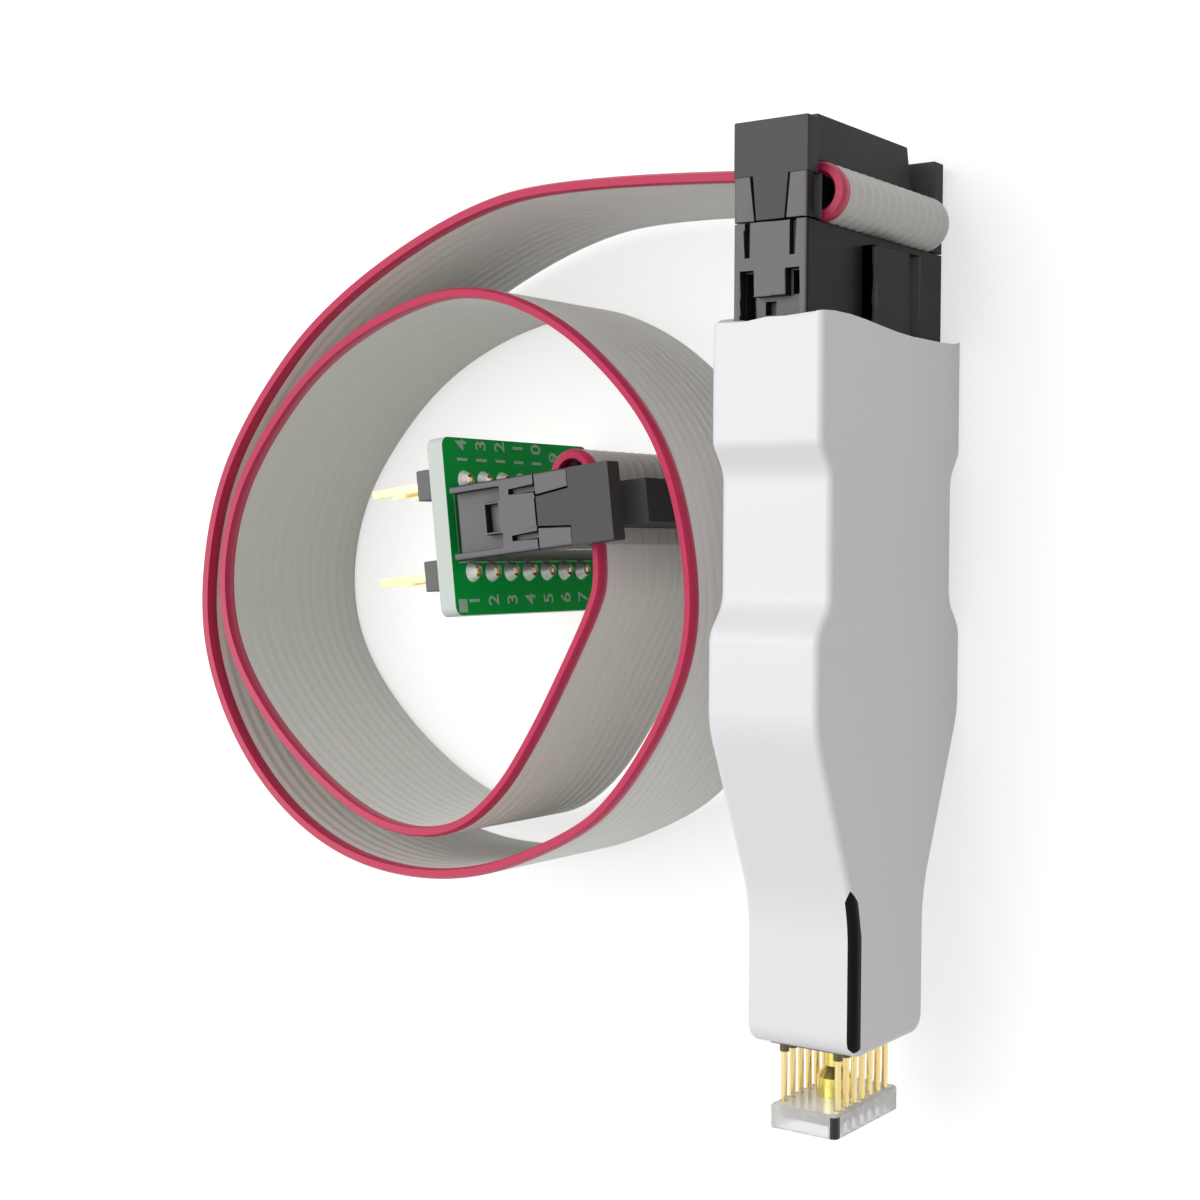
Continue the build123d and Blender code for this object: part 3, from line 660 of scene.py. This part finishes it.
rim_foot = foot_y + 0.0533
cut_step_x = 0.0016
cut_step_z = 0.0025
rim_dip = 0.05365
rim_rise = 0.00075
side_height = 0.0540
side_slope = 0.05
far_side_drop = 0.00035
ripple_middle = 0.00045
ripple_length = 0.0046
ripple_reach = 0.0055
ripple_height = 0.00027
rim_edge_radius = 0.00015
rim_shortest = 0.0006
bm = node_copy("probe_body")
cuts = [((number * cut_step_x, 0, 0), (1, 0, 0)) for number in range(-2, 3)]
cuts += [((0, 0, axis_z + number * cut_step_z), (0, 0, 1)) for number in range(-4, 5)]
for on_cut, normal in cuts:
    geom = [*bm.verts, *bm.edges, *bm.faces]
    bmesh.ops.bisect_plane(bm, geom=geom, plane_co=on_cut, plane_no=normal)
for vertex in bm.verts:
    if vertex.co.y < rim_foot:
        continue
    x = vertex.co.x
    z = vertex.co.z - axis_z
    wide = rim_dip + rim_rise * eased(z, -0.003, 0.009)
    ripple = cos(2 * pi * (x - ripple_middle) / ripple_length) * (1 - (x / ripple_reach) ** 2)
    narrow = side_height + side_slope * x + ripple_height * ripple - (far_side_drop if z < 0 else 0)
    vertex.co.y = foot_y + wide + (narrow - wide) * eased(abs(z), 0.0095, 0.011)
soften(bm, rim_edge_radius, rim_shortest)
put_on(bm, "probe_body", "probe", white)

# Guide plate. Clear plastic, a little milky, moulded with a pocket for the chip and fixed to the brass post.
# A black ink mark goes round its edge at pin 1.
clear = grained("clear_plastic", (0.93, 0.935, 0.94), 0.14)
surface = clear.node_tree.nodes["Principled BSDF"]
surface.inputs["Transmission Weight"].default_value = 0.6
surface.inputs["IOR"].default_value = 1.49
for slot in nodes["guide_plate"].material_slots:
    slot.material = clear

plate_corner = Vector((0.0025, 0, axis_z + 0.00475))
corner_radius = 0.00035
corner_steps = 8
mark_depth = 0.00002
mark_foot = foot_y - 0.00628
mark_height = 0.0016
mark_run_up = 0.00012
mark_run_down = 0.00025
bm = bmesh.new()
outer = []
inner = []
for step in range(-1, corner_steps + 2):
    angle = pi / (2 * corner_steps) * min(max(step, 0), corner_steps)
    run_on = Vector()
    if step < 0:
        run_on.z = -mark_run_down
    elif step > corner_steps:
        run_on.x = -mark_run_up
    outward = Vector((cos(angle), 0, sin(angle)))
    for ring, lift in ((outer, mark_depth * 1.5), (inner, mark_depth * 0.5)):
        ring.append(bm.verts.new(plate_corner + outward * (corner_radius + lift) + run_on))
for ends in ((outer[0], inner[0]), (outer[-1], inner[-1])):
    bm.edges.new(ends)
for ring in (outer, inner):
    for pair in zip(ring, ring[1:]):
        bm.edges.new(pair)
bmesh.ops.translate(bm, vec=(0, mark_foot, 0), verts=bm.verts)
base_edges = list(bm.edges)
lifted, top_edges = outer_edges(bmesh.ops.extrude_edge_only(bm, edges=base_edges)["geom"])
bmesh.ops.translate(bm, vec=(0, mark_height, 0), verts=lifted)
bmesh.ops.contextual_create(bm, geom=base_edges)
bmesh.ops.contextual_create(bm, geom=top_edges)
bmesh.ops.recalc_face_normals(bm, faces=bm.faces)
black_ink = grained("black_ink", (0.004, 0.004, 0.005), 0.5)
plate_mark = joined("plate_mark", bm, black_ink)
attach(plate_mark, "guide")

# Adapter board. Green solder mask over glass cloth, with a pale cut edge, and white printed pin numbers, an
# outline round the header and a square at pin 1.
board = grained("circuit_board", (0.001, 0.50, 0.075), 0.4)
tree = board.node_tree
surface = tree.nodes["Principled BSDF"]
surface.inputs["Specular IOR Level"].default_value = 0.06
look = tree.nodes.new("ShaderNodeNewGeometry")
facing = tree.nodes.new("ShaderNodeVectorMath")
facing.operation = "DOT_PRODUCT"
facing.inputs[1].default_value = adapter_axis
link(tree, look.outputs["True Normal"], facing.inputs[0])
flat = maths(tree, "GREATER_THAN", maths(tree, "ABSOLUTE", facing.outputs["Value"]), 0.7)
edged = blended(tree, flat, (0.66, 0.71, 0.66), tree.nodes["grain"].outputs["Colour"])
link(tree, edged, surface.inputs["Base Color"])
bm = node_copy("adapter_board")
put_on(bm, "adapter_board", "adapter", board)

ink = grained("white_ink", (0.50, 0.72, 0.54), 0.55)
board_face = -0.0096
ink_lift = 0.00002
row_length = ways // 2
number_side = 0.0062
number_up = 0.00762
number_step = 0.00254
number_size = 0.0019
number_weight = 0.00003
print_place = Matrix((adapter_side, Vector((0, 0, 1)), adapter_axis)).transposed().to_4x4()
print_place.translation = adapter_joint + adapter_axis * (board_face + ink_lift)
numbers = []
for step in range(row_length):
    up = number_up - step * number_step
    numbers.append((str(ways - step), number_side, up))
for step in range(row_length):
    up = number_up - step * number_step
    numbers.append((str(1 + step), -number_side, up))
bm = bmesh.new()
for words, side, up in numbers:
    curve = bpy.data.curves.new(f"number_{words}", "FONT")
    curve.body = words
    curve.size = number_size
    curve.space_character = 1.3
    curve.align_x = "CENTER"
    curve.align_y = "CENTER"
    curve.offset = number_weight
    line = bpy.data.objects.new(f"number_{words}", curve)
    bpy.context.collection.objects.link(line)
    mesh = bpy.data.meshes.new_from_object(line)
    bpy.data.objects.remove(line)
    mesh.transform(Matrix.Translation((side, up, 0)))
    bm.from_mesh(mesh)
    bpy.data.meshes.remove(mesh)

line_half = 0.00007
header_side = 0.0030
header_up = 0.0092
corners = [(-1, -1), (1, -1), (1, 1), (-1, 1)]
inner = [bm.verts.new((a * (header_side - line_half), b * (header_up - line_half), 0)) for a, b in corners]
outer = [bm.verts.new((a * (header_side + line_half), b * (header_up + line_half), 0)) for a, b in corners]
for n in range(4):
    bm.faces.new((inner[n], outer[n], outer[n - 3], inner[n - 3]))
square_side = -0.0066
square_up = 0.0092
square_half = 0.00055
spot = [(square_side + a * square_half, square_up + b * square_half, 0) for a, b in corners]
bm.faces.new([bm.verts.new(corner) for corner in spot])
bmesh.ops.transform(bm, matrix=print_place, verts=bm.verts)
bmesh.ops.recalc_face_normals(bm, faces=bm.faces)
board_print = joined("printed_board_marks", bm, ink)
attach(board_print, "adapter")

# The pieces at the ribbon's far end. The ribbon runs from the probe's socket to the adapter; the second
# socket, the board with its print and the pin strips are gathered into one list.
adapter_names = ("adapter_", "dip_", "printed_")
cord_nodes = frame["record"]["physics"]["cord_nodes"]
far_pieces = [nodes[name] for name in cord_nodes if name.startswith(adapter_names)]
far_pieces = [piece for piece in far_pieces if not piece.hide_render]
for piece in bpy.data.objects:
    if piece.name.startswith(adapter_names) and piece.name not in cord_nodes:
        far_pieces.append(piece)
